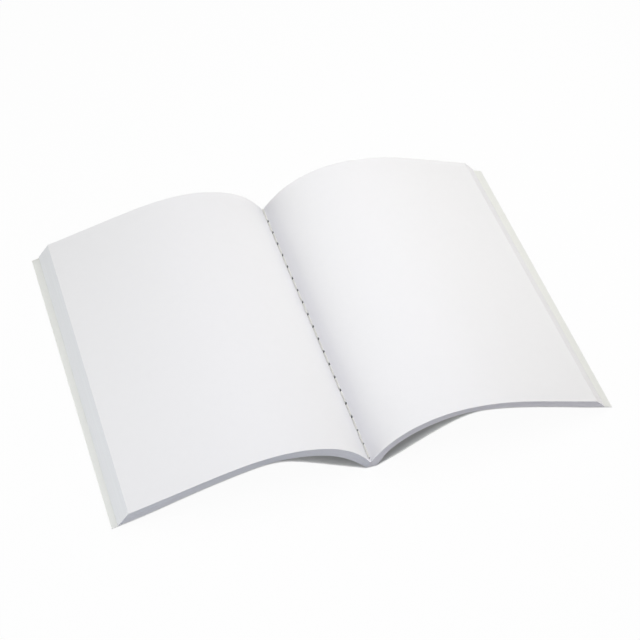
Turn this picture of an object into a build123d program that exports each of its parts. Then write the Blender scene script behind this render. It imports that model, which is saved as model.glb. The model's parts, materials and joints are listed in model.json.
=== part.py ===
from build123d import *
import os
from math import atan2, cos, degrees, radians, sin

# A sewn notebook with a soft card cover, lying open at its middle on a table.
# X runs across the spread, Y along the spine to the head, and Z up from the table.
# The origin is on the table, under the middle of the spine.
# All lengths are in millimetres and all angles in degrees.
# Every piece is a section drawn across the spread and drawn out along the spine.
# The front half is to the left of the spine, the back half to the right.

# Leaves and cover, which are trimmed flush at head and tail
page_height = 210.0
spine_width = 6.1
cover_reach = 150.5  # spine fold to the cover's fore edge, along the table
card_thickness = 0.8
edge_lift = 1.0  # the cover's fore edges stand this far off the table

# Front half of the spread
front_rise = 28.1  # highest point of the leaves' underside
front_stack = 6.2  # thickness of the leaves turned to this side
front_margin = 3.4  # cover that shows beyond the lowest leaf
front_fan = 8.9  # how far the top leaf is set back from the lowest

# Back half of the spread
back_rise = 31.1
back_stack = 4.9
back_margin = 4.9
back_fan = 9.3

# The leaves' fore edges were trimmed out of square: narrower at the head by this much
fore_edge_skew = 1.1

# Gutter, where the leaves are sewn through their middle fold
gutter_offset = 1.0  # towards the front half
gutter_height = 5.2
gutter_groove_radius = 0.8

# Sewing
thread_radius = 0.5
needle_hole_radius = 0.45
needle_hole_offset = 0.2  # from the gutter towards the back half
thread_leg_clearance = 0.1  # between a leg of the thread and its needle hole
stitch_length = 10.32
tail_stitch_margin = 3.2  # tail edge to the last needle hole
thread_floor_gap = 0.3  # under the foot of a leg, above the spine of the cover
stitch_dip = 0.55  # how far the thread sinks where it goes into a needle hole
stitch_dip_radius = 0.9

# The thread and its groove are eight-sided, with a flat at the bottom
thread_sides = 8
thread_turn = 180 / thread_sides

# Cutting tools run past the solids by this much
overrun = 4.0

# Angles to the table at which the lines of the section come down to the spine
page_gutter_angle = 54
leaf_spine_angle = 47
card_spine_angle = 28

# Underside of the leaves, from the cover's fore edge to the spine.
# Each pair is a share of the reach and a share of the rise.
front_bed_shares = [(0.907, 0.199), (0.724, 0.527), (0.54, 0.833), (0.448, 0.95),
                    (0.366, 1.0), (0.261, 0.936), (0.165, 0.772), (0.063, 0.39)]
back_bed_shares = [(0.905, 0.215), (0.794, 0.418), (0.684, 0.614), (0.577, 0.79),
                   (0.472, 0.927), (0.354, 0.998), (0.21, 0.891), (0.117, 0.685), (0.0275, 0.262)]

# Cover between the point where it parts from the leaves and the spine, in the same shares
front_card_shares = [(0.354, 0.968), (0.258, 0.776), (0.16, 0.495)]
back_card_shares = [(0.335, 0.93), (0.278, 0.818), (0.186, 0.572)]

# The cover parts from the leaves after this many arcs of their underside
front_bedded_arcs = 11
back_bedded_arcs = 11

# Thickness of the leaves along the underside, which are looser towards the fore edge.
# Each pair is a share of the underside's length and a share of the stack's thickness.
front_thickness_shares = [(0.0, 1.2), (0.2, 1.13), (0.4, 0.97), (0.55, 0.89), (0.72, 0.99), (0.9, 0.97)]
back_thickness_shares = [(0.0, 1.04), (0.25, 0.98), (0.4, 0.98), (0.55, 0.9), (0.72, 1.02), (0.93, 1.0)]

# Each long line of a section is drawn as this many arcs, end to end
line_arcs = 20

spine_half = spine_width / 2
head_y = page_height / 2
tail_y = -page_height / 2
gutter = Vector(-gutter_offset, gutter_height)


def section_point(side, along, up):
    """A point of the section: side is -1 for the front half and 1 for the back."""
    return Vector(side * (spine_half + along), up)


def upward(side, line, share):
    """The direction square to a line that runs from the fore edge to the spine."""
    run = line % share
    return Vector(side * run.Y, -side * run.X)


def towards_spine(side, angle):
    """The direction of a line that comes down to the spine at an angle to the table."""
    return Vector(-side * cos(radians(angle)), -sin(radians(angle)))


def share_points(side, rise, shares):
    """Points of an outline that are given as shares of the cover's reach and the rise."""
    return [section_point(side, along * cover_reach, up * rise) for along, up in shares]


def leaf_underside(side, rise, shares):
    """Underside of the leaves, drawn on over the cover to the cover's fore edge."""
    tip = section_point(side, cover_reach, edge_lift + card_thickness)
    seat = section_point(side, 0, card_thickness)
    points = [tip, *share_points(side, rise, shares), seat]
    tip_run = points[1] - tip
    return Spline(*points, tangents=[tip_run, towards_spine(side, leaf_spine_angle)])


def in_arcs(line, side, offset=0):
    """A line of the section as arcs, set off square to itself by a distance."""
    arcs = []
    for step in range(line_arcs):
        points = []
        for share in (step / line_arcs, (step + 1 / 2) / line_arcs, (step + 1) / line_arcs):
            points.append(line @ share + upward(side, line, share) * offset)
        arcs.append(ThreePointArc(*points))
    return arcs


def page_section(side, underside, stack, thickness_shares):
    """Section of one stack of leaves, square at the fore edge, before its cuts."""
    top_points = []
    for along, share in thickness_shares:
        top_points.append(underside @ along + upward(side, underside, along) * stack * share)
    ends = [underside % thickness_shares[0][0], towards_spine(side, page_gutter_angle)]
    top = Spline(*top_points, gutter, tangents=ends)
    fore = Line(top @ 0, underside @ 0)
    base = [underside @ 1, gutter]
    if side > 0:
        # The back half carries the folds of the leaves, over the whole spine
        base.insert(1, section_point(-side, 0, card_thickness))
    edges = [fore, *in_arcs(top, side), *in_arcs(underside, side), *Polyline(*base).edges()]
    return make_face(Wire(edges))


def draw_out(section):
    """The solid of a section, from tail to head."""
    return extrude(Plane.XZ.offset(head_y) * section, amount=-page_height)


def fore_edge_cut(side, underside, stack, thickness_shares, margin, fan):
    """Everything outside the slanted fore edge of the leaves, which is turned out of square."""
    low_share = margin / underside.length
    top_share = (margin + fan) / underside.length
    low = underside @ low_share
    thickness = stack * thickness_shares[0][1]
    top = underside @ top_share + upward(side, underside, top_share) * thickness
    slant = (top - low).normalized() * overrun
    out = Vector(side * (margin + fan + overrun), 0)
    corners = [low - slant, top + slant, top + slant + out, low - slant + out]
    section = make_face(Polyline(*corners, close=True))
    cut = extrude(Plane.XZ.offset(head_y + overrun) * section, amount=-page_height - 2 * overrun)
    turn = degrees(atan2(fore_edge_skew, page_height))
    return Pos(low.X, tail_y) * Rot(Z=side * turn) * Pos(-low.X, -tail_y) * cut


def along_spine(radius, start_y, end_y):
    """An eight-sided bar on the gutter's line, with flats at this radius."""
    section = RegularPolygon(radius, thread_sides, major_radius=False)
    place = Plane.XZ.offset(-start_y) * Pos(gutter.X, gutter.Y)
    return extrude(place * Rot(Z=thread_turn) * section, amount=start_y - end_y)


def under_gutter(section, y, foot, top):
    """An upright bar of a section, beside the gutter's line and below it."""
    return Pos(gutter.X + needle_hole_offset, y, foot) * extrude(section, amount=top - foot)


def needle_hole_places():
    """Places of the needle holes along the spine, from the tail."""
    count = int((page_height - tail_stitch_margin) / stitch_length)
    return [tail_y + tail_stitch_margin + stitch_length * step for step in range(count)]


def sewing_cuts():
    """The groove that the thread lies in and the needle holes under it."""
    cuts = [along_spine(gutter_groove_radius, tail_y - overrun, head_y + overrun)]
    for y in needle_hole_places():
        cuts.append(under_gutter(Circle(needle_hole_radius), y, card_thickness, gutter_height))
    return cuts


def page_stack(side, underside, stack, thickness_shares, margin, fan):
    """One half of the leaves, bedded on its cover and sewn down at the gutter."""
    solid = draw_out(page_section(side, underside, stack, thickness_shares))
    solid -= fore_edge_cut(side, underside, stack, thickness_shares, margin, fan)
    for cut in sewing_cuts():
        solid -= cut
    return solid


def cover_board(side, rise, underside, bedded_arcs, shares):
    """One side of the cover: bedded under the leaves, then free down to the spine fold."""
    parting_share = bedded_arcs / line_arcs
    parting = underside @ parting_share
    fold = section_point(side, 0, card_thickness)
    ends = [underside % parting_share, towards_spine(side, card_spine_angle)]
    free = Spline(parting, *share_points(side, rise, shares), fold, tangents=ends)
    face = in_arcs(underside, side)[:bedded_arcs] + in_arcs(free, side)
    back = in_arcs(underside, side, -card_thickness)[:bedded_arcs]
    back += in_arcs(free, side, -card_thickness)
    closing = [Line(face[0] @ 0, back[0] @ 0), Line(face[-1] @ 1, back[-1] @ 1)]
    return draw_out(make_face(Wire([*face, *back, *closing])))


def spine_strip():
    """The flat strip of the cover under the sewn folds, which the notebook rests on."""
    corners = [
        section_point(-1, 0, 0),
        section_point(1, 0, 0),
        section_point(1, 0, card_thickness),
        section_point(-1, 0, card_thickness),
    ]
    return draw_out(make_face(Polyline(*corners, close=True)))


def stitch_dips():
    """What is left out above the thread where one stitch sinks and the next comes up."""
    middle_height = gutter_height + thread_radius - stitch_dip + stitch_dip_radius
    across = Rot(Y=90) * Cylinder(stitch_dip_radius, 2 * thread_radius + 2 * overrun)
    return [Pos(gutter.X, y, middle_height) * across for y in needle_hole_places()]


def thread():
    """The sewing thread: stitches along the gutter with a leg down each needle hole."""
    places = needle_hole_places()
    solid = along_spine(thread_radius, places[0] - needle_hole_radius, head_y)
    for dip in stitch_dips():
        solid -= dip
    leg = RegularPolygon(needle_hole_radius - thread_leg_clearance, thread_sides)
    foot = card_thickness + thread_floor_gap
    top = gutter_height + thread_radius - stitch_dip
    for y in places:
        solid += under_gutter(leg, y, foot, top)
    return solid


front_underside = leaf_underside(-1, front_rise, front_bed_shares)
back_underside = leaf_underside(1, back_rise, back_bed_shares)

parts = {
    "front_pages": page_stack(
        -1, front_underside, front_stack, front_thickness_shares, front_margin, front_fan
    ),
    "back_pages": page_stack(
        1, back_underside, back_stack, back_thickness_shares, back_margin, back_fan
    ),
    "front_cover": cover_board(
        -1, front_rise, front_underside, front_bedded_arcs, front_card_shares
    ),
    "back_cover": cover_board(
        1, back_rise, back_underside, back_bedded_arcs, back_card_shares
    ),
    "cover_spine": spine_strip(),
    "sewing_thread": thread(),
}

os.makedirs("parts", exist_ok=True)
for name, solid in parts.items():
    export_step(solid, f"parts/{name}.step")
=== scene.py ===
import json
import math
import random

import bmesh
import bpy
import numpy as np
from mathutils import Euler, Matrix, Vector
from mathutils.bvhtree import BVHTree


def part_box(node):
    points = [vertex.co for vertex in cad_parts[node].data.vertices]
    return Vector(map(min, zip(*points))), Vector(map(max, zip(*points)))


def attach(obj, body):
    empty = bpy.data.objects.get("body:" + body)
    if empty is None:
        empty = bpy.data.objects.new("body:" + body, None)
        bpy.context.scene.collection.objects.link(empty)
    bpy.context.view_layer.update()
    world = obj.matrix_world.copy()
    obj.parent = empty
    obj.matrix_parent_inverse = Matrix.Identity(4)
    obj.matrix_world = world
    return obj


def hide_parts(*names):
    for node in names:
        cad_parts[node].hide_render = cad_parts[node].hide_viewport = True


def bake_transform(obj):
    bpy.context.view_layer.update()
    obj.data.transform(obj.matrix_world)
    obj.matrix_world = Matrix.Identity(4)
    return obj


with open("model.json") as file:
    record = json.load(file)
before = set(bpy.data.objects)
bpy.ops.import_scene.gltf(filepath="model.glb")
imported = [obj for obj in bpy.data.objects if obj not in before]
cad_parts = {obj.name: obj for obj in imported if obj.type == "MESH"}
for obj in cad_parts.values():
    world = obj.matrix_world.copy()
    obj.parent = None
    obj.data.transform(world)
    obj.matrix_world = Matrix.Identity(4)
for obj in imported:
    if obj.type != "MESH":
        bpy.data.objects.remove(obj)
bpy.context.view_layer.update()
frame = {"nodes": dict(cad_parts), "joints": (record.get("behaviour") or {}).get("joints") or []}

# An open sewn notebook. All lengths are in metres, and the section's points are (x, z).
# X runs across the spread, Y along the spine to the head, Z up from the table.
MM = 0.001

# The front half lies to the left of the spine, the back half to the right
FRONT, BACK = -1, 1

# The camera stands where the photograph was taken
CAMERA_PLACE = (-0.24505, -0.60984, 0.77641)
CAMERA_TURN_DEG = (40.632, -3.122, -18.500)
CAMERA_LENS_MM = 92.85
CAMERA_SENSOR_MM = 36

# Softboxes, all aimed at the gutter: name, place, side, watts and colour
SOFTBOXES = [
    ("softbox_left", (-1.22, 0, 0.445), 0.8, 6.7, (1.0, 1.0, 0.92)),
    ("softbox_right", (1.22, 0, 0.445), 0.8, 3.6, (1.0, 0.97, 0.82)),
    ("softbox_tail", (0, -1.22, 0.445), 0.8, 2.15, (0.84, 0.85, 1.0)),
    ("softbox_over_left", (-0.20, -0.20, 0.50), 0.25, 0.77, (0.89, 0.90, 1.0)),
    ("softbox_over_right", (0.20, 0.20, 0.50), 0.25, 1.0, (0.98, 0.98, 1.0)),
    ("softbox_over_right_middle", (0.20, 0, 0.50), 0.25, 0.66, (1.0, 0.98, 0.94)),
]
LAMP_AIM = Vector((0, 0, 0.02))
ROOM_LIGHT = 0.15

# Floor
FLOOR_SIZE = 4
FLOOR_DROP = 0.1 * MM  # from the cover's spine down to the floor
FLOOR_PAINT = (0.86, 0.86, 0.86, 1)
FLOOR_SHADING = 0.045  # how much of its own light and shade the white floor shows
WHITE = (1, 1, 1, 1)

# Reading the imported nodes
MERGE_DISTANCE = 0.005 * MM
ON_PLANE = 0.01 * MM  # points this near to a plane lie in it
PROBE_START = 1.0  # a probe sets out this far above or below
PROBE_FROM_TAIL = 1 * MM
PROBE_INSET = 0.02 * MM  # a probe passes this far inside a point
PROBE_MATCH = 0.06 * MM  # and hits the point's face within this height

# Leaves
LEAF_COUNTS = {FRONT: 62, BACK: 49}
LEAF_ROWS = 2  # rows of the mesh in a leaf's thickness
TRIM_SEEDS = {FRONT: 3, BACK: 5}
FORE_EDGE_SKEW = 1.1 * MM
ALONG_ROWS = 90
VALLEY_ROWS = 6
ROW_CROWDING = 1.3  # the rows lie closer together towards the gutter
LINE_STEPS = 800
FINE_LINE_STEPS = 4000
GUTTER_CLEARANCE = 1 * MM  # page points nearer to the gutter than this are its groove's
UNDER_VALLEY_SHARE = 0.985  # the front underside from here on lies under the valley
HEAD_ROW = 3 * MM  # from the head to the last row of the leaves' mesh
CUT_GROOVE = 0.035 * MM  # between the cut edges of two leaves
LEAF_WANDER = 0.05 * MM  # how unevenly the leaves are trimmed
LOW_LEAF_SET_BACK = 0.25 * MM
LOW_LEAF_COUNT = 3
CORNER_SET_BACK = 0.9 * MM  # the lowest leaves' corners at the tail are rubbed short
CORNER_REACH = 5 * MM

# Beside the gutter a page rounds up into a shoulder, and then goes down into the valley
SHOULDER_LIFTS = {FRONT: 0.2 * MM, BACK: 0.5 * MM}
SHOULDER_START = 1.6 * MM
SHOULDER_REACH = 5 * MM
VALLEY_RADIUS = 0.45 * MM  # the innermost fold is rounded under the thread
VALLEY_RISE = 0.77 * MM  # height of the valley's centre over the gutter's line

# Cover
CARD_ROUNDING = 0.25 * MM
CARD_LAYERS = 4  # rows of the mesh in the card's thickness
CARD_EDGE_ROWS = [0, 0.3 * MM, 1 * MM, 2 * MM, 3.2 * MM]
CARD_INNER_ROWS = np.linspace(6 * MM, 100 * MM, 6)
BOARD_ROWS = 70
STRIP_ROWS = 8
CORNER_TURN = 0.75 * MM  # how far the corners at the head have been knocked down
CORNER_TURN_REACH = 3.2 * MM
CORNER_COLUMNS = 9

# Needle holes
STITCH_LENGTH = 10.32 * MM
TAIL_STITCH_MARGIN = 2.75 * MM
NEEDLE_HOLE_RADIUS = 0.46 * MM
NEEDLE_HOLE_SIDES = 12
NEEDLE_HOLE_PULL = 2.8  # the thread has pulled the holes this much longer than wide
TIGHT_HOLE_SHARES = [0.4, 0.6, 0.7]  # the holes nearest to the tail are pulled less
NEEDLE_HOLE_OFFSET = 0.08 * MM  # from the gutter's line towards the back half
NEEDLE_HOLE_FLOOR = 0.1 * MM  # between the foot of a hole and the card
NEEDLE_HOLE_TOP = 4 * MM  # the needle stands this far over the gutter's line
HOLE_ROWS = 1.8 * MM  # from a hole to the rows of the leaves' mesh about it

# Thread
THREAD_RADIUS = 0.55 * MM
THREAD_RISE = 0.85 * MM  # it is wedged in the fold, with its middle this far over the gutter
THREAD_TO_RIGHT = 0.17 * MM  # of the gutter's line, at a stitch's end towards the head
THREAD_TO_LEFT = 0.03 * MM  # at its end towards the tail
LEG_DEPTH = 1.6 * MM
LEG_FROM_HOLE_END = 0.24 * MM
LEG_THINNING = 0.45  # the thread is pulled this much thinner where it goes down
LEG_THINNING_DEPTH = 1 * MM
PLY_COUNT = 3
PLY_PITCH = 1.5 * MM
PLY_STEPS = 10  # points in one turn of a ply
PLY_OFFSET_SHARE = 0.5  # of the thread's radius, from its middle to a ply's
PLY_RADIUS_SHARE = 0.52

# How a stitch turns from its leg into its run: distance along it, and how far below the run
STITCH_TURN = [(0.03 * MM, 0.75 * MM), (0.35 * MM, 0.08 * MM), (1.15 * MM, 0)]

# Finishes: the patterns' scales are per metre
CLOUD_SCALE = 220.0
FIBRE_SCALE = 2600.0
FIBRE_STRETCH = (1.0, 3.0, 1.0)
FIBRE_TURN = (0.2, 0.1, 0.7)
TOOTH_SCALE = 7000.0
EDGE_TONE_DRIFT = 30.0
BROAD_TONE_SHARE = 0.16  # scale of the tone that several leaves share, against one leaf's
MATT_ROUGHNESS = 0.75
FIBRE_ROUGHNESS = 0.2
CUT_EDGE_ROUGHNESS = 0.85
MATT_SPECULAR = 0.25
RELIEF_STRENGTH = 0.6

spine_low, spine_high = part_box("cover_spine")
CARD_THICKNESS = spine_high.z - spine_low.z
SPINE_HALF = spine_high.x
TAIL_Y, HEAD_Y = spine_low.y, spine_high.y
hinge_place = frame["joints"][0]["pos_m"]
GUTTER = Vector((hinge_place[0], hinge_place[2]))
VALLEY = GUTTER + Vector((0, VALLEY_RISE))
THREAD_LIE = GUTTER.y + THREAD_RISE


# Lines of the section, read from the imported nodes

def section_line(node, from_above):
    """Points of a node's top or underside at the tail, from the left to the right."""
    bm = bmesh.new()
    bm.from_mesh(frame["nodes"][node].data)
    bmesh.ops.remove_doubles(bm, verts=bm.verts, dist=MERGE_DISTANCE)
    tree = BVHTree.FromBMesh(bm)
    middle = sum(v.co.x for v in bm.verts) / len(bm.verts)
    start_z, towards = (PROBE_START, -1) if from_above else (-PROBE_START, 1)
    points = []
    for v in bm.verts:
        if v.co.y > TAIL_Y + ON_PLANE:
            continue
        inwards = PROBE_INSET if v.co.x < middle else -PROBE_INSET
        start = Vector((v.co.x + inwards, TAIL_Y + PROBE_FROM_TAIL, start_z))
        hit = tree.ray_cast(start, Vector((0, 0, towards)))[0]
        if hit is not None and abs(hit.z - v.co.z) < PROBE_MATCH:
            points.append((v.co.x, v.co.z))
    bm.free()
    points.sort()
    return points


def outside_spine(points, side):
    """The points of one half that don't lie over the cover's spine strip."""
    return [p for p in points if side * p[0] > SPINE_HALF - ON_PLANE]


def from_fore_edge(points, side):
    """The same points, with the fore edge first."""
    return points if side == FRONT else points[::-1]


def resample(points, shares):
    """Points on a smooth line through the given ones, at these shares of its length."""
    points = np.array(points, float)
    run = np.r_[0, np.cumsum(np.linalg.norm(np.diff(points, axis=0), axis=1))]
    slope = np.gradient(points, run, axis=0, edge_order=2)
    at = np.array(shares, float) * run[-1]
    i = np.clip(np.searchsorted(run, at, side="right") - 1, 0, len(run) - 2)
    gap = (run[i + 1] - run[i])[:, None]
    t = (at - run[i])[:, None] / gap
    start = points[i] * (1 + 2 * t) * (1 - t) ** 2 + slope[i] * gap * t * (1 - t) ** 2
    end = points[i + 1] * t * t * (3 - 2 * t) + slope[i + 1] * gap * t * t * (t - 1)
    return start + end


def line_length(points):
    points = np.array(points, float)
    return float(np.linalg.norm(np.diff(points, axis=0), axis=1).sum())


def directions(points):
    """The direction of a line at each of its points."""
    run = np.gradient(points, axis=0)
    return run / np.linalg.norm(run, axis=1)[:, None]


# Meshes

def lattice(rows):
    """A closed unit block about the origin, cut into this many rows along x, y and z."""
    bm = bmesh.new()
    bmesh.ops.create_cube(bm, size=1)
    for axis, count in enumerate(rows):
        edges = [
            e for e in bm.edges if abs((e.verts[0].co - e.verts[1].co)[axis]) > 0.5
        ]
        bmesh.ops.subdivide_edges(bm, edges=edges, cuts=count - 1, use_grid_fill=True)
    return bm


def lay_lattice(bm, rows, place):
    """Moves each point of a lattice to its place, which its row numbers give.

    Sheet faces get the first material and cut edges the second.
    """
    bm.normal_update()
    for face in bm.faces:
        face.material_index = 0 if abs(face.normal.z) > 0.5 else 1
        face.smooth = True
    for edge in bm.edges:
        first, second = edge.link_faces
        edge.smooth = first.normal.dot(second.normal) > 0.5
    leaf_layer = bm.verts.layers.float.new("leaf")
    for v in bm.verts:
        i, j, k = (round((v.co[axis] + 0.5) * rows[axis]) for axis in range(3))
        v[leaf_layer] = k / rows[2]
        v.co = place(i, j, k)
    bmesh.ops.recalc_face_normals(bm, faces=bm.faces)


def link_new(name, data):
    """A new object at the origin, in the scene."""
    made = bpy.data.objects.new(name, data)
    bpy.context.scene.collection.objects.link(made)
    return made


def new_piece(name, bm, materials):
    mesh = bpy.data.meshes.new(name)
    bm.to_mesh(mesh)
    bm.free()
    for material in materials:
        mesh.materials.append(material)
    return link_new(name, mesh)


def finished_mesh(piece):
    """The mesh of a piece with its modifiers, or of a curve with its thickness."""
    graph = bpy.context.evaluated_depsgraph_get()
    return bpy.data.meshes.new_from_object(piece.evaluated_get(graph))


# Finishes

def new_group(name, inputs, outputs):
    """A node group with named colour and value sockets."""
    group = bpy.data.node_groups.new(name, "ShaderNodeTree")
    kinds = {"value": "NodeSocketFloat", "colour": "NodeSocketColor"}
    for label, kind, default in inputs:
        socket = group.interface.new_socket(label, in_out="INPUT", socket_type=kinds[kind])
        socket.default_value = default
    for label, kind in outputs:
        group.interface.new_socket(label, in_out="OUTPUT", socket_type=kinds[kind])
    group.nodes.new("NodeGroupInput")
    group.nodes.new("NodeGroupOutput")
    return group


class Nodes:
    """Short calls for adding and joining the nodes of one tree."""

    def __init__(self, tree):
        self.tree = tree

    def add(self, kind, **settings):
        node = self.tree.nodes.new(kind)
        for key, value in settings.items():
            setattr(node, key, value)
        return node

    def join(self, start, end):
        self.tree.links.new(start, end)

    def feed(self, socket, source):
        """Gives a socket a number, or joins another node's output to it."""
        if isinstance(source, (int, float)):
            socket.default_value = source
        else:
            self.join(source, socket)

    def noise(self, vector, scale, detail, roughness=0.5):
        node = self.add("ShaderNodeTexNoise")
        node.inputs["Scale"].default_value = scale
        node.inputs["Detail"].default_value = detail
        node.inputs["Roughness"].default_value = roughness
        self.join(vector, node.inputs["Vector"])
        return node.outputs["Fac"]

    def value(self, operation, first, second):
        node = self.add("ShaderNodeMath", operation=operation)
        self.feed(node.inputs[0], first)
        self.feed(node.inputs[1], second)
        return node.outputs[0]

    def tinted(self, colour, fac):
        """A colour made lighter or darker by a factor."""
        node = self.add("ShaderNodeVectorMath", operation="SCALE")
        self.join(colour, node.inputs[0])
        self.join(fac, node.inputs["Scale"])
        return node.outputs[0]

    def mixed(self, fac, first, second):
        """The first shader where fac is 0, the second where it is 1."""
        node = self.add("ShaderNodeMixShader")
        self.feed(node.inputs["Fac"], fac)
        self.join(first, node.inputs[1])
        self.join(second, node.inputs[2])
        return node.outputs[0]

    def seen_directly(self):
        """1 for the camera, also by way of metal or glass, and 0 for other light."""
        path = self.add("ShaderNodeLightPath").outputs
        direct = self.value("MAXIMUM", path["Is Camera Ray"], path["Is Glossy Ray"])
        return self.value("MAXIMUM", direct, path["Is Transmission Ray"])


def fibre_group():
    """Matted fibres of paper and card: cloudy tone, short fibres and a fine tooth."""
    group = new_group(
        "matted_fibres",
        [
            ("Colour", "colour", (0.9, 0.9, 0.9, 1)),
            ("Cloud", "value", 0.02),
            ("Fibre", "value", 0.02),
        ],
        [("Colour", "colour"), ("Roughness", "value"), ("Height", "value")],
    )
    n = Nodes(group)
    given = group.nodes["Group Input"].outputs
    result = group.nodes["Group Output"].inputs
    place = n.add("ShaderNodeTexCoord").outputs["Object"]
    cloud = n.noise(place, CLOUD_SCALE, detail=4.0, roughness=0.6)
    stretched = n.add("ShaderNodeMapping")
    stretched.inputs["Scale"].default_value = FIBRE_STRETCH
    stretched.inputs["Rotation"].default_value = FIBRE_TURN
    n.join(place, stretched.inputs["Vector"])
    fibre = n.noise(stretched.outputs["Vector"], FIBRE_SCALE, detail=2.0, roughness=0.7)
    tooth = n.noise(place, TOOTH_SCALE, detail=1.0)
    cloud_part = n.value("MULTIPLY", n.value("SUBTRACT", cloud, 0.5), given["Cloud"])
    fibre_part = n.value("MULTIPLY", n.value("SUBTRACT", fibre, 0.5), given["Fibre"])
    fac = n.value("ADD", n.value("ADD", cloud_part, fibre_part), 1.0)
    n.join(n.tinted(given["Colour"], fac), result["Colour"])
    rougher = n.value("MULTIPLY", fibre, FIBRE_ROUGHNESS)
    n.join(n.value("ADD", rougher, MATT_ROUGHNESS), result["Roughness"])
    n.join(n.value("ADD", fibre, tooth), result["Height"])
    return group


def leaf_edge_group():
    """Cut edges of the stacked leaves: a tone for each leaf that drifts along it."""
    group = new_group(
        "cut_leaf_edges",
        [
            ("Colour", "colour", (0.9, 0.9, 0.9, 1)),
            ("Leaves", "value", 60.0),
            ("Streak", "value", 0.1),
        ],
        [("Colour", "colour"), ("Height", "value")],
    )
    n = Nodes(group)
    given = group.nodes["Group Input"].outputs
    result = group.nodes["Group Output"].inputs
    leaf = n.add("ShaderNodeAttribute", attribute_name="leaf").outputs["Fac"]
    place = n.add("ShaderNodeSeparateXYZ")
    n.join(n.add("ShaderNodeTexCoord").outputs["Object"], place.inputs[0])
    across = n.add("ShaderNodeCombineXYZ")
    n.join(n.value("MULTIPLY", leaf, given["Leaves"]), across.inputs["X"])
    n.join(n.value("MULTIPLY", place.outputs["X"], EDGE_TONE_DRIFT), across.inputs["Y"])
    n.join(n.value("MULTIPLY", place.outputs["Y"], EDGE_TONE_DRIFT), across.inputs["Z"])
    fine = n.noise(across.outputs[0], 1.0, detail=1.0)
    broad = n.noise(across.outputs[0], BROAD_TONE_SHARE, detail=2.0)
    streak = n.value("SUBTRACT", n.value("ADD", fine, broad), 1.0)
    fac = n.value("ADD", n.value("MULTIPLY", streak, given["Streak"]), 1.0)
    n.join(n.tinted(given["Colour"], fac), result["Colour"])
    n.join(fine, result["Height"])
    return group


def finish(name, group, values, bump, roughness=None, sheen=0.0):
    """A matt material whose colour and relief come from one of the groups."""
    material = bpy.data.materials.new(name)
    material.use_nodes = True
    n = Nodes(material.node_tree)
    shader = material.node_tree.nodes["Principled BSDF"]
    pattern = n.add("ShaderNodeGroup", node_tree=group)
    for label, value in values.items():
        pattern.inputs[label].default_value = value
    n.join(pattern.outputs["Colour"], shader.inputs["Base Color"])
    if roughness is None:
        n.join(pattern.outputs["Roughness"], shader.inputs["Roughness"])
    else:
        shader.inputs["Roughness"].default_value = roughness
    shader.inputs["Specular IOR Level"].default_value = MATT_SPECULAR
    shader.inputs["Sheen Weight"].default_value = sheen
    relief = n.add("ShaderNodeBump")
    relief.inputs["Distance"].default_value = bump
    relief.inputs["Strength"].default_value = RELIEF_STRENGTH
    n.join(pattern.outputs["Height"], relief.inputs["Height"])
    n.join(relief.outputs["Normal"], shader.inputs["Normal"])
    return material


fibres = fibre_group()
leaf_edges = leaf_edge_group()
page_paper = finish(
    "smooth_page_paper",
    fibres,
    {"Colour": (0.86, 0.86, 0.87, 1), "Cloud": 0.02, "Fibre": 0.02},
    bump=0.01 * MM,
)
front_cut_edges = finish(
    "front_cut_edges",
    leaf_edges,
    {"Colour": (0.80, 0.815, 0.85, 1), "Leaves": LEAF_COUNTS[FRONT], "Streak": 0.07},
    bump=0.02 * MM,
    roughness=CUT_EDGE_ROUGHNESS,
)
back_cut_edges = finish(
    "back_cut_edges",
    leaf_edges,
    {"Colour": (0.845, 0.84, 0.87, 1), "Leaves": LEAF_COUNTS[BACK], "Streak": 0.07},
    bump=0.02 * MM,
    roughness=CUT_EDGE_ROUGHNESS,
)
cover_card = finish(
    "soft_cover_card",
    fibres,
    {"Colour": (0.81, 0.82, 0.79, 1), "Cloud": 0.03, "Fibre": 0.06},
    bump=0.02 * MM,
)
# Walls of the needle holes: a dark grey that is painted shade, standing in for the shade deep
# inside the holes
painted_shade_hole_walls = finish(
    "painted_shade_hole_walls",
    fibres,
    {"Colour": (0.17, 0.17, 0.18, 1), "Cloud": 0.1, "Fibre": 0.2},
    bump=0.02 * MM,
)
card_cut_edge = finish(
    "card_cut_edge",
    fibres,
    {"Colour": (0.90, 0.905, 0.87, 1), "Cloud": 0.05, "Fibre": 0.12},
    bump=0.03 * MM,
)
linen_thread = finish(
    "plied_linen",
    fibres,
    {"Colour": (0.77, 0.765, 0.715, 1), "Cloud": 0.05, "Fibre": 0.2},
    bump=0.02 * MM,
    sheen=0.2,
)


# Needle holes

def needle_hole_places():
    """Places of the needle holes along the spine, from the tail."""
    count = int((HEAD_Y - TAIL_Y - TAIL_STITCH_MARGIN) / STITCH_LENGTH)
    return [TAIL_Y + TAIL_STITCH_MARGIN + STITCH_LENGTH * step for step in range(count)]


def needle_hole_pull(number):
    """How much longer than wide a needle hole is, counted from the tail."""
    tight = TIGHT_HOLE_SHARES[number] if number < len(TIGHT_HOLE_SHARES) else 1
    return NEEDLE_HOLE_PULL * tight


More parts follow.
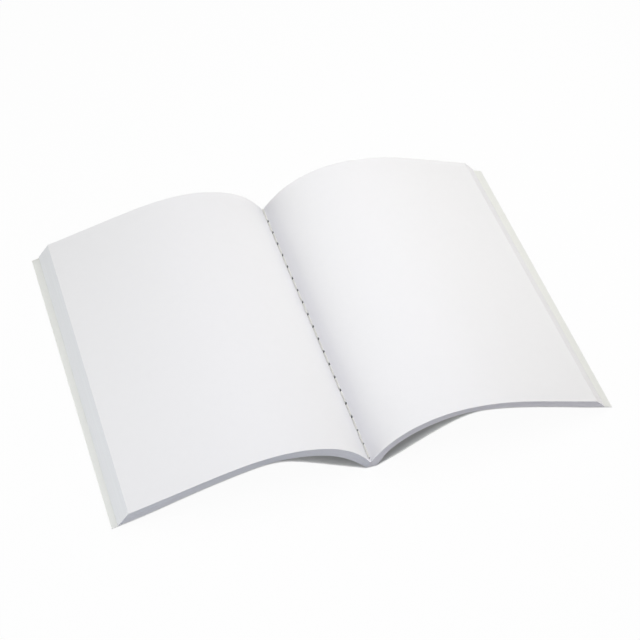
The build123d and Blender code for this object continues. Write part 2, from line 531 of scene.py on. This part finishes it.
def cut_needle_holes(piece):
    """Bores the needle holes, beside the gutter's line and down to the card; the bored walls
    take a dark painted shade.
    """
    bm = bmesh.new()
    foot, top = CARD_THICKNESS + NEEDLE_HOLE_FLOOR, GUTTER.y + NEEDLE_HOLE_TOP
    for number, y in enumerate(needle_hole_places()):
        made = bmesh.ops.create_cone(
            bm,
            cap_ends=True,
            segments=NEEDLE_HOLE_SIDES,
            radius1=NEEDLE_HOLE_RADIUS,
            radius2=NEEDLE_HOLE_RADIUS,
            depth=top - foot,
        )
        bmesh.ops.scale(bm, verts=made["verts"], vec=(1, needle_hole_pull(number), 1))
        middle = (GUTTER.x + NEEDLE_HOLE_OFFSET, y, (foot + top) / 2)
        bmesh.ops.translate(bm, verts=made["verts"], vec=middle)
    # The needle's material carries the dark painted shade onto the walls that it bores
    needle = new_piece("needle", bm, [painted_shade_hole_walls])
    cut = piece.modifiers.new("needle holes", "BOOLEAN")
    cut.operation = "DIFFERENCE"
    cut.solver = "EXACT"
    cut.material_mode = "TRANSFER"
    cut.object = needle
    mesh = finished_mesh(piece)
    piece.modifiers.clear()
    piece.data = mesh
    bpy.data.objects.remove(needle)


# Leaves

def shouldered(points, side):
    """The page line with its shoulder, down to the gutter at its last point."""
    line = resample(points, np.linspace(0, 1, LINE_STEPS + 1))
    run = directions(line)
    upward = np.column_stack([side * run[:, 1], -side * run[:, 0]])
    steps = np.linalg.norm(np.diff(line, axis=0), axis=1)
    to_gutter = np.r_[np.cumsum(steps[::-1])[::-1], 0]
    reach = (to_gutter - SHOULDER_START) / SHOULDER_REACH
    return line + upward * (SHOULDER_LIFTS[side] * reach * np.exp(1 - reach))[:, None]


def rim_of_valley(points):
    """How far along its line a page comes before it rounds into the innermost fold."""
    fine = resample(points, np.linspace(0, 1, FINE_LINE_STEPS + 1))
    nearest = int(np.linalg.norm(fine - np.array(VALLEY), axis=1).argmin())
    return nearest / FINE_LINE_STEPS


def valley_arc(rim_point):
    """Points from a page's rim round to the bottom of the valley, without the rim's own."""
    rim = rim_point - np.array(VALLEY)
    start_angle = math.atan2(rim[1], rim[0])
    angles = np.linspace(start_angle, -math.pi / 2, VALLEY_ROWS + 1)[1:]
    radii = np.linspace(np.linalg.norm(rim), VALLEY_RADIUS, VALLEY_ROWS + 1)[1:]
    out = np.column_stack([radii * np.cos(angles), radii * np.sin(angles)])
    return np.array(VALLEY) + out


def page_lines(node, side, start_shift):
    """Underside and top of one half of the leaves, each with ALONG_ROWS + 1 points.

    Both run from the fore edge to the split between the halves. start_shift trims
    the fore edge by that much.
    """
    low = outside_spine(section_line(node, from_above=False), side)
    low = from_fore_edge(low, side)
    top = from_fore_edge(section_line(node, from_above=True), side)
    # The outermost top point belongs to the slanted fore edge
    top = [p for p in top[1:] if (Vector(p) - GUTTER).length > GUTTER_CLEARANCE]
    top.append(tuple(GUTTER))
    top = shouldered(top, side)

    page_rows = ALONG_ROWS - VALLEY_ROWS
    spread = 1 - (1 - np.linspace(0, 1, page_rows + 1)) ** ROW_CROWDING
    top_start = start_shift / line_length(top)
    top_line = resample(top, top_start + spread * (rim_of_valley(top) - top_start))
    low_start = start_shift / line_length(low)
    if side == FRONT:
        low_line = resample(low, low_start + spread * (UNDER_VALLEY_SHARE - low_start))
        rest = resample(low, np.linspace(UNDER_VALLEY_SHARE, 1, VALLEY_ROWS + 1))[1:]
    else:
        low_line = resample(low, low_start + spread * (1 - low_start))
        base_x = np.linspace(SPINE_HALF, -SPINE_HALF, VALLEY_ROWS + 1)[1:]
        rest = np.column_stack([base_x, np.full(VALLEY_ROWS, CARD_THICKNESS)])
    return np.vstack([low_line, rest]), np.vstack([top_line, valley_arc(top_line[-1])])


def leaf_stations():
    """Places along the spine where the leaves' mesh has rows, close about each hole."""
    stations = [TAIL_Y]
    for y in needle_hole_places():
        stations += [y - HOLE_ROWS, y + HOLE_ROWS]
    return stations + [HEAD_Y - HEAD_ROW, HEAD_Y]


def page_block(name, side, materials):
    """One half of the leaves as a closed block whose cut edges show each leaf."""
    draw = random.Random(TRIM_SEEDS[side])
    leaf_count = LEAF_COUNTS[side]
    wander = [draw.gauss(0, 1) * LEAF_WANDER for leaf in range(leaf_count + 1)]
    slant = [draw.gauss(0, 1) * LEAF_WANDER for leaf in range(leaf_count + 1)]
    at_tail = page_lines(name, side, 0)
    at_head = page_lines(name, side, FORE_EDGE_SKEW)
    stations = leaf_stations()
    rows = (ALONG_ROWS, len(stations) - 1, LEAF_ROWS * leaf_count)

    def set_back(k, across, corner):
        """How far a cut edge lies behind the trimmed face; between leaves it is deeper."""
        if k == rows[2]:
            return 0
        leaf = k // LEAF_ROWS
        depth = abs(wander[leaf] + slant[leaf] * (across - 0.5))
        if k % LEAF_ROWS == 0:
            depth += CUT_GROOVE
        low_share = max(0, 1 - k / (LEAF_ROWS * LOW_LEAF_COUNT))
        return depth + (LOW_LEAF_SET_BACK + CORNER_SET_BACK * corner) * low_share

    def on_line(i, j, k):
        up = k / rows[2]
        spine_share = (stations[j] - TAIL_Y) / (HEAD_Y - TAIL_Y)
        ends = [low[i] * (1 - up) + top[i] * up for low, top in (at_tail, at_head)]
        return ends[0] * (1 - spine_share) + ends[1] * spine_share

    def place(i, j, k):
        point = on_line(i, j, k)
        if i == 0:
            inner = on_line(1, j, k)
            corner = math.exp((TAIL_Y - stations[j]) / CORNER_REACH)
            depth = set_back(k, j / rows[1], corner)
            point = point + (inner - point) / np.linalg.norm(inner - point) * depth
        y = stations[j]
        if j == 0:
            corner = math.exp(-abs(point[0] - on_line(0, j, k)[0]) / CORNER_REACH)
            y += set_back(k, i / rows[0], corner)
        if j == rows[1]:
            y -= set_back(k, 1 - i / rows[0], 0)
        return (point[0], y, point[1])

    bm = lattice(rows)
    lay_lattice(bm, rows, place)
    block = new_piece(name + "_leaves", bm, materials)
    cut_needle_holes(block)
    return block


# Cover

def card_lines():
    """Inner face of the whole cover, from its front fore edge to its back one."""
    front = outside_spine(section_line("front_cover", from_above=True), FRONT)
    back = outside_spine(section_line("back_cover", from_above=True), BACK)
    board_shares = np.linspace(0, 1, BOARD_ROWS + 1)
    strip_x = np.linspace(-SPINE_HALF, SPINE_HALF, STRIP_ROWS + 1)[1:-1]
    strip = np.column_stack([strip_x, np.full(len(strip_x), CARD_THICKNESS)])
    return np.vstack([resample(front, board_shares), strip, resample(back, board_shares)])


def cover_sheet():
    """The cover as one sheet of card, with its two folds beside the spine."""
    inner = card_lines()
    run = directions(inner)
    outer = inner - np.column_stack([-run[:, 1], run[:, 0]]) * CARD_THICKNESS
    from_tail = [*CARD_EDGE_ROWS, *CARD_INNER_ROWS]
    stations = [TAIL_Y + y for y in from_tail] + [HEAD_Y - y for y in from_tail[::-1]]
    rows = (len(inner) - 1, len(stations) - 1, CARD_LAYERS)

    def place(i, j, k):
        point = outer[i] + (inner[i] - outer[i]) * k / rows[2]
        rounding = CARD_ROUNDING * abs(2 * k / rows[2] - 1) ** 2
        if i in (0, rows[0]):
            inwards = inner[1] - inner[0] if i == 0 else inner[-2] - inner[-1]
            point = point + inwards / np.linalg.norm(inwards) * rounding
        y = stations[j]
        if j == 0:
            y += rounding
        if j == rows[1]:
            y -= rounding
        to_corner = min(i, rows[0] - i) / CORNER_COLUMNS
        to_head = (HEAD_Y - y) / CORNER_TURN_REACH
        turned = max(0, 1 - to_corner) * max(0, 1 - to_head) ** 2
        return (point[0], y, point[1] - CORNER_TURN * turned)

    bm = lattice(rows)
    lay_lattice(bm, rows, place)
    return new_piece("cover_sheet", bm, [cover_card, card_cut_edge])


# Thread

def leg_place(number):
    """How far from the middle of a needle hole its two legs of thread go down."""
    return NEEDLE_HOLE_RADIUS * needle_hole_pull(number) - LEG_FROM_HOLE_END


def stitch_path(number, start_y, end_y, last):
    """Middle line of a stitch, from the needle hole at its tail end to the one at its head.

    It bears a little to the left on its way to the tail.
    """
    foot = GUTTER.y - LEG_DEPTH
    right, left = GUTTER.x + THREAD_TO_RIGHT, GUTTER.x - THREAD_TO_LEFT
    up_y = start_y + leg_place(number)
    points = [(left, up_y, foot)]
    for along, below in STITCH_TURN:
        points.append((left, up_y + along, THREAD_LIE - below))
    points.append(((left + right) / 2, (start_y + end_y) / 2, THREAD_LIE))
    if last:
        points.append((right, end_y, THREAD_LIE))
    else:
        down_y = end_y - leg_place(number + 1)
        for along, below in reversed(STITCH_TURN):
            points.append((right, down_y - along, THREAD_LIE - below))
        points.append((right, down_y, foot))
    return points


def twist_plies(curve, path, start_turn):
    """Adds the plies of one stitch, which wind about its middle line."""
    run = directions(path)
    side = np.tile((1.0, 0.0, 0.0), (len(path), 1))
    up = np.cross(run, side)
    sunk = np.clip((THREAD_LIE - path[:, 2]) / LEG_THINNING_DEPTH, 0, 1)
    girth = 1 - LEG_THINNING * sunk
    turn = np.arange(len(path)) * 2 * math.pi / PLY_STEPS
    for ply in range(PLY_COUNT):
        angle = turn + 2 * math.pi * ply / PLY_COUNT + start_turn
        out = side * np.cos(angle)[:, None] + up * np.sin(angle)[:, None]
        line = path + out * (girth * THREAD_RADIUS * PLY_OFFSET_SHARE)[:, None]
        places = np.column_stack([line, np.ones(len(line))])
        spline = curve.splines.new("POLY")
        spline.points.add(len(line) - 1)
        spline.points.foreach_set("co", places.ravel())
        spline.points.foreach_set("radius", girth * THREAD_RADIUS * PLY_RADIUS_SHARE)


def sewing_yarn():
    """The thread as plied yarn, one stitch after the other, along the gutter."""
    curve = bpy.data.curves.new("yarn", "CURVE")
    curve.dimensions = "3D"
    curve.bevel_depth = 1
    curve.bevel_resolution = 1
    curve.use_fill_caps = True
    places = needle_hole_places()
    for number, start_y in enumerate(places):
        last = number == len(places) - 1
        end_y = HEAD_Y if last else places[number + 1]
        points = stitch_path(number, start_y, end_y, last)
        count = int(line_length(points) / (PLY_PITCH / PLY_STEPS))
        path = resample(points, np.linspace(0, 1, count + 1))
        twist_plies(curve, path, start_turn=number)
    strand = link_new("yarn", curve)
    mesh = finished_mesh(strand)
    bpy.data.objects.remove(strand)
    mesh.materials.clear()
    mesh.materials.append(linen_thread)
    for face in mesh.polygons:
        face.use_smooth = True
    return link_new("sewing_yarn", mesh)


# The notebook

front_leaves = page_block("front_pages", FRONT, [page_paper, front_cut_edges])
back_leaves = page_block("back_pages", BACK, [page_paper, back_cut_edges])
cover = cover_sheet()
yarn = sewing_yarn()

# The split between the halves runs from the gutter down to the front spine fold
for sheet in (front_leaves, cover):
    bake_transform(sheet)
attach(back_leaves, "back_half")
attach(yarn, "back_half")
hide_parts("front_pages")
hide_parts("back_pages")
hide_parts("front_cover", "cover_spine", "back_cover")
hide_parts("sewing_thread")


# Floor, light and camera

def floor_finish():
    """A pale floor that the camera sees as white, with a faint shadow of the notebook."""
    material = bpy.data.materials.new("pale_floor")
    material.use_nodes = True
    tree = material.node_tree
    n = Nodes(tree)
    tree.nodes.remove(tree.nodes["Principled BSDF"])
    lit = n.add("ShaderNodeBsdfDiffuse")
    lit.inputs["Color"].default_value = FLOOR_PAINT
    white = n.add("ShaderNodeEmission")
    white.inputs["Color"].default_value = WHITE
    seen = n.mixed(FLOOR_SHADING, white.outputs[0], lit.outputs[0])
    chosen = n.mixed(n.seen_directly(), lit.outputs[0], seen)
    n.join(chosen, tree.nodes["Material Output"].inputs["Surface"])
    return material


def white_room():
    """A white background for the camera, and an even low light for everything else."""
    world = bpy.data.worlds.new("white_room")
    world.use_nodes = True
    tree = world.node_tree
    n = Nodes(tree)
    low_light = tree.nodes["Background"]
    low_light.inputs["Color"].default_value = WHITE
    low_light.inputs["Strength"].default_value = ROOM_LIGHT
    white = n.add("ShaderNodeBackground")
    white.inputs["Color"].default_value = WHITE
    white.inputs["Strength"].default_value = 1.0
    chosen = n.mixed(n.seen_directly(), low_light.outputs[0], white.outputs[0])
    n.join(chosen, tree.nodes["World Output"].inputs["Surface"])
    bpy.context.scene.world = world


def softbox(name, place, side, watts, colour):
    """A square lamp aimed at the notebook, which the camera doesn't see."""
    lamp = bpy.data.lights.new(name, "AREA")
    lamp.shape = "SQUARE"
    lamp.size = side
    lamp.energy = watts
    lamp.color = colour
    holder = link_new(name, lamp)
    holder.location = place
    holder.rotation_euler = (Vector(place) - LAMP_AIM).to_track_quat("Z", "Y").to_euler()
    holder.visible_camera = False


floor_bm = bmesh.new()
bmesh.ops.create_grid(floor_bm, x_segments=1, y_segments=1, size=FLOOR_SIZE)
bmesh.ops.translate(floor_bm, verts=floor_bm.verts, vec=(0, 0, -FLOOR_DROP))
floor = new_piece("floor", floor_bm, [floor_finish()])
white_room()
for row in SOFTBOXES:
    softbox(*row)

camera_data = bpy.data.cameras.new("camera")
camera_data.lens = CAMERA_LENS_MM
camera_data.sensor_width = CAMERA_SENSOR_MM
camera_data.clip_start = 0.05
camera_data.clip_end = 20
camera = link_new("camera", camera_data)
camera.location = CAMERA_PLACE
camera.rotation_euler = Euler([math.radians(turn) for turn in CAMERA_TURN_DEG])
bpy.context.scene.camera = camera
bpy.context.scene.view_settings.view_transform = "Standard"
